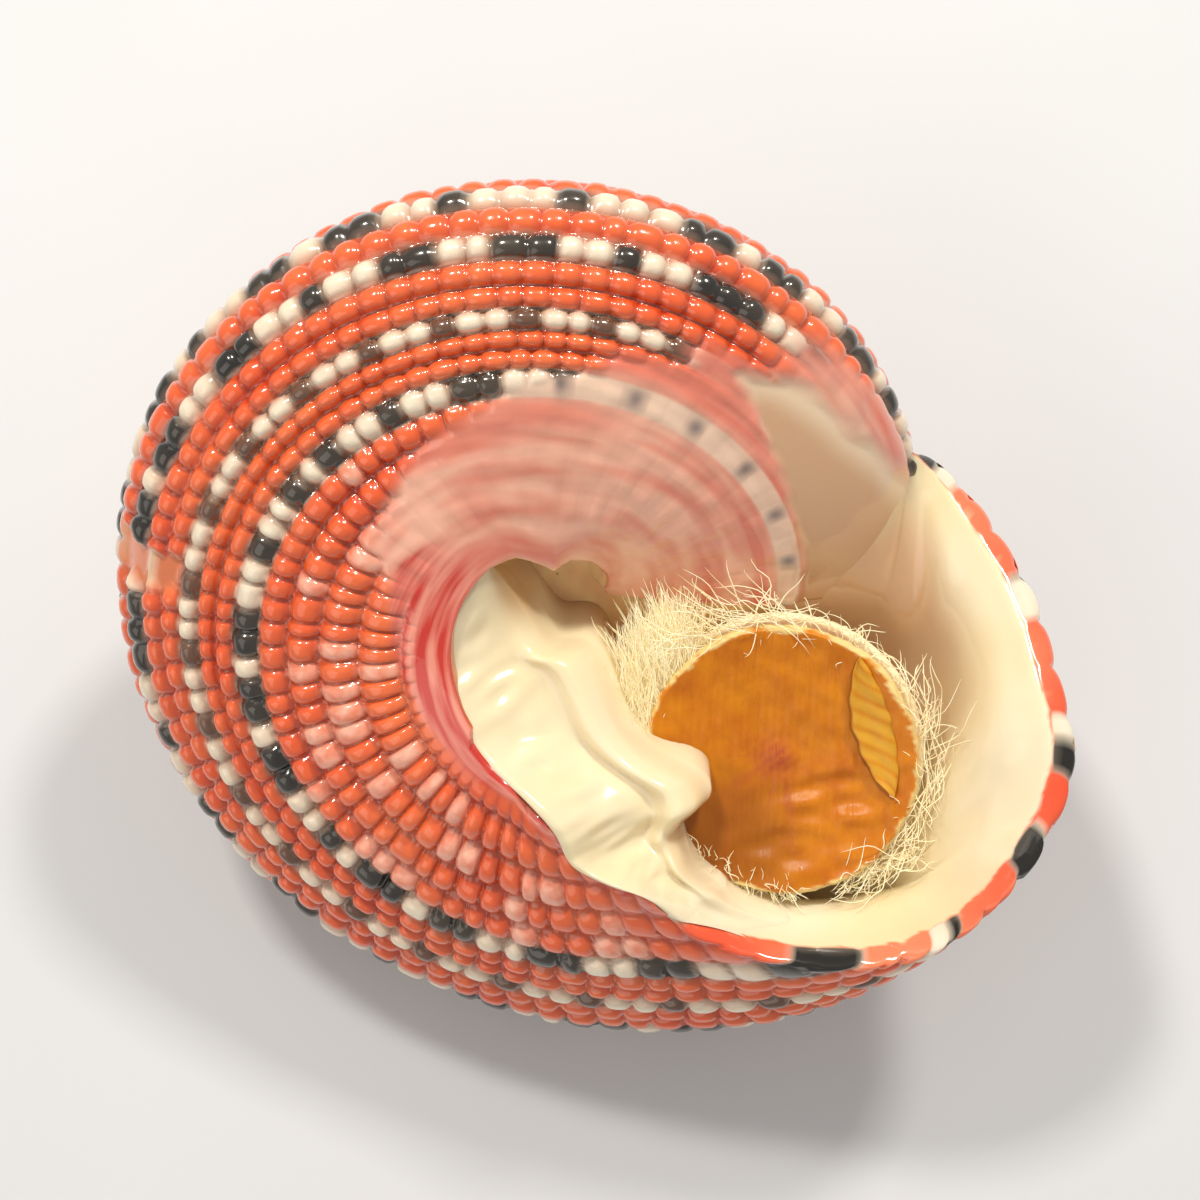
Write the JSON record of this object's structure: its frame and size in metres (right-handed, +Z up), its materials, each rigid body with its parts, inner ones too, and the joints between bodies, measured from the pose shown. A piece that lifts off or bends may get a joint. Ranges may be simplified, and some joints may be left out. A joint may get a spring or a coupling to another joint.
{
  "type": "strawberry top shell",
  "caption": "Small coiled sea shell with rows of round beads, lying on its spire with the mouth up, a horny lid and a wad of cotton wool set in the mouth.",
  "frame": {"origin": "middle of the footprint of the shell's box, on the surface it lies on", "axes": "+Z up with the shell lying on its spire side and the mouth turned up, +X along the longest side of the box"},
  "size_m": [0.0202, 0.017, 0.0134],
  "materials": {
    "shell_wall": "glossy",
    "horn": "satin",
    "cotton": "matte"
  },
  "bodies": {
    "root": {"shell": "shell_wall", "operculum": "horn", "cotton_wad": "cotton"}
  },
  "joints": []
}
